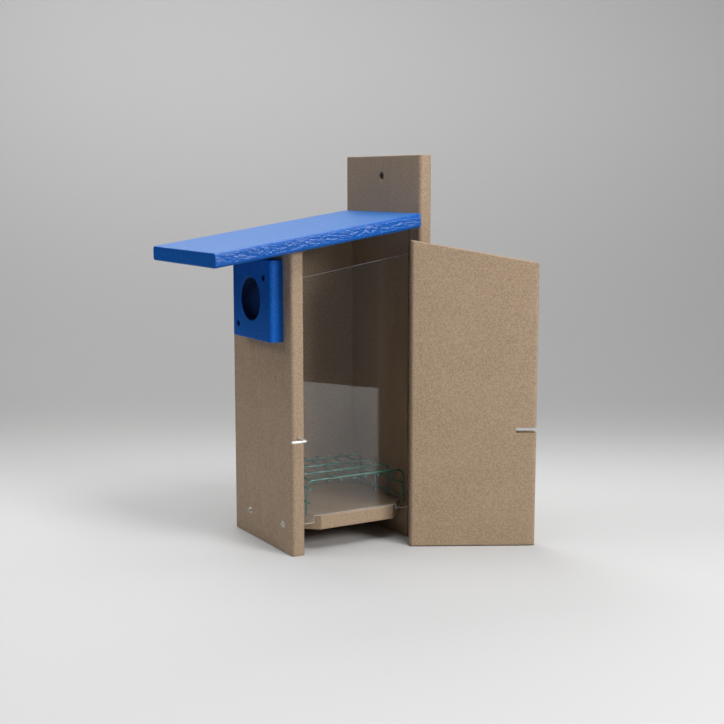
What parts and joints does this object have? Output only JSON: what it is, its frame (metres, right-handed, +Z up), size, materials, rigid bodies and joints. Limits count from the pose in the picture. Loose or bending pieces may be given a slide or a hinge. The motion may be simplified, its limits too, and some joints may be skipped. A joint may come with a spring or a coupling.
{
  "type": "bluebird nest box",
  "caption": "Upright bluebird nest box in plastic lumber with sloped roof, entrance guard, swing-open side door, clear viewing window and raised wire nest floor.",
  "frame": {"origin": "centre of the back board's bottom end, on the surface that the box stands on", "axes": "+X towards the side with the door, -Y towards the entrance, +Y out of the back board's rear face, +Z up"},
  "size_m": [0.1984, 0.286, 0.349],
  "materials": {
    "taupe_lumber": "moulded orange-peel skin",
    "blue_lumber": "moulded pebbled skin",
    "clear_acrylic": "clear polished sheet",
    "green_wire": "plastic coating on welded wire",
    "plated_hook": "bright zinc plate",
    "zinc_screw": "zinc plate",
    "dark_screw": "dark coating",
    "hinge_steel": "satin steel"
  },
  "bodies": {
    "house": {"back_board": "taupe_lumber", "front_board": "taupe_lumber", "left_side_board": "taupe_lumber", "floor_board": "taupe_lumber", "roof_board": "blue_lumber", "entrance_guard": "blue_lumber", "guard_screws": "dark_screw", "floor_screws_front": "zinc_screw", "floor_screws_back": "zinc_screw", "floor_screws_side": "zinc_screw", "front_board_screws": "zinc_screw", "side_board_screws": "zinc_screw", "roof_screws": "zinc_screw", "hinge_screws_fixed": "hinge_steel", "hinge_fixed_leaf_lower": "hinge_steel", "hinge_fixed_leaf_upper": "hinge_steel", "hinge_pin_lower": "hinge_steel", "hinge_pin_upper": "hinge_steel"},
    "door": {"door_board": "taupe_lumber", "hinge_door_leaf_lower": "hinge_steel", "hinge_door_leaf_upper": "hinge_steel", "hinge_screws_door": "hinge_steel"},
    "window": {"viewing_window": "clear_acrylic"},
    "nest_mesh": {"nest_mesh_long_wires": "green_wire", "nest_mesh_cross_wires": "green_wire"},
    "latch": {"latch_hook": "plated_hook"}
  },
  "joints": [
    {"name": "door_swing", "type": "hinge", "parent": "house", "child": "door", "pos_m": [0.067, -0.01295, 0.134], "axis": [0, 0, 1], "range_deg": [-151.4, 24]},
    {"name": "latch_turn", "type": "hinge", "parent": "house", "child": "latch", "pos_m": [0.0531, -0.12135, 0.1053], "axis": [1, 0, 0], "range_deg": [-90, 90]},
    {"name": "window_lift", "type": "slide", "parent": "house", "child": "window", "axis": [0, 0, 1], "range_m": [0, 0.02]},
    {"name": "nest_mesh_lift", "type": "slide", "parent": "house", "child": "nest_mesh", "axis": [0, 0, 1], "range_m": [0, 0.03]}
  ]
}
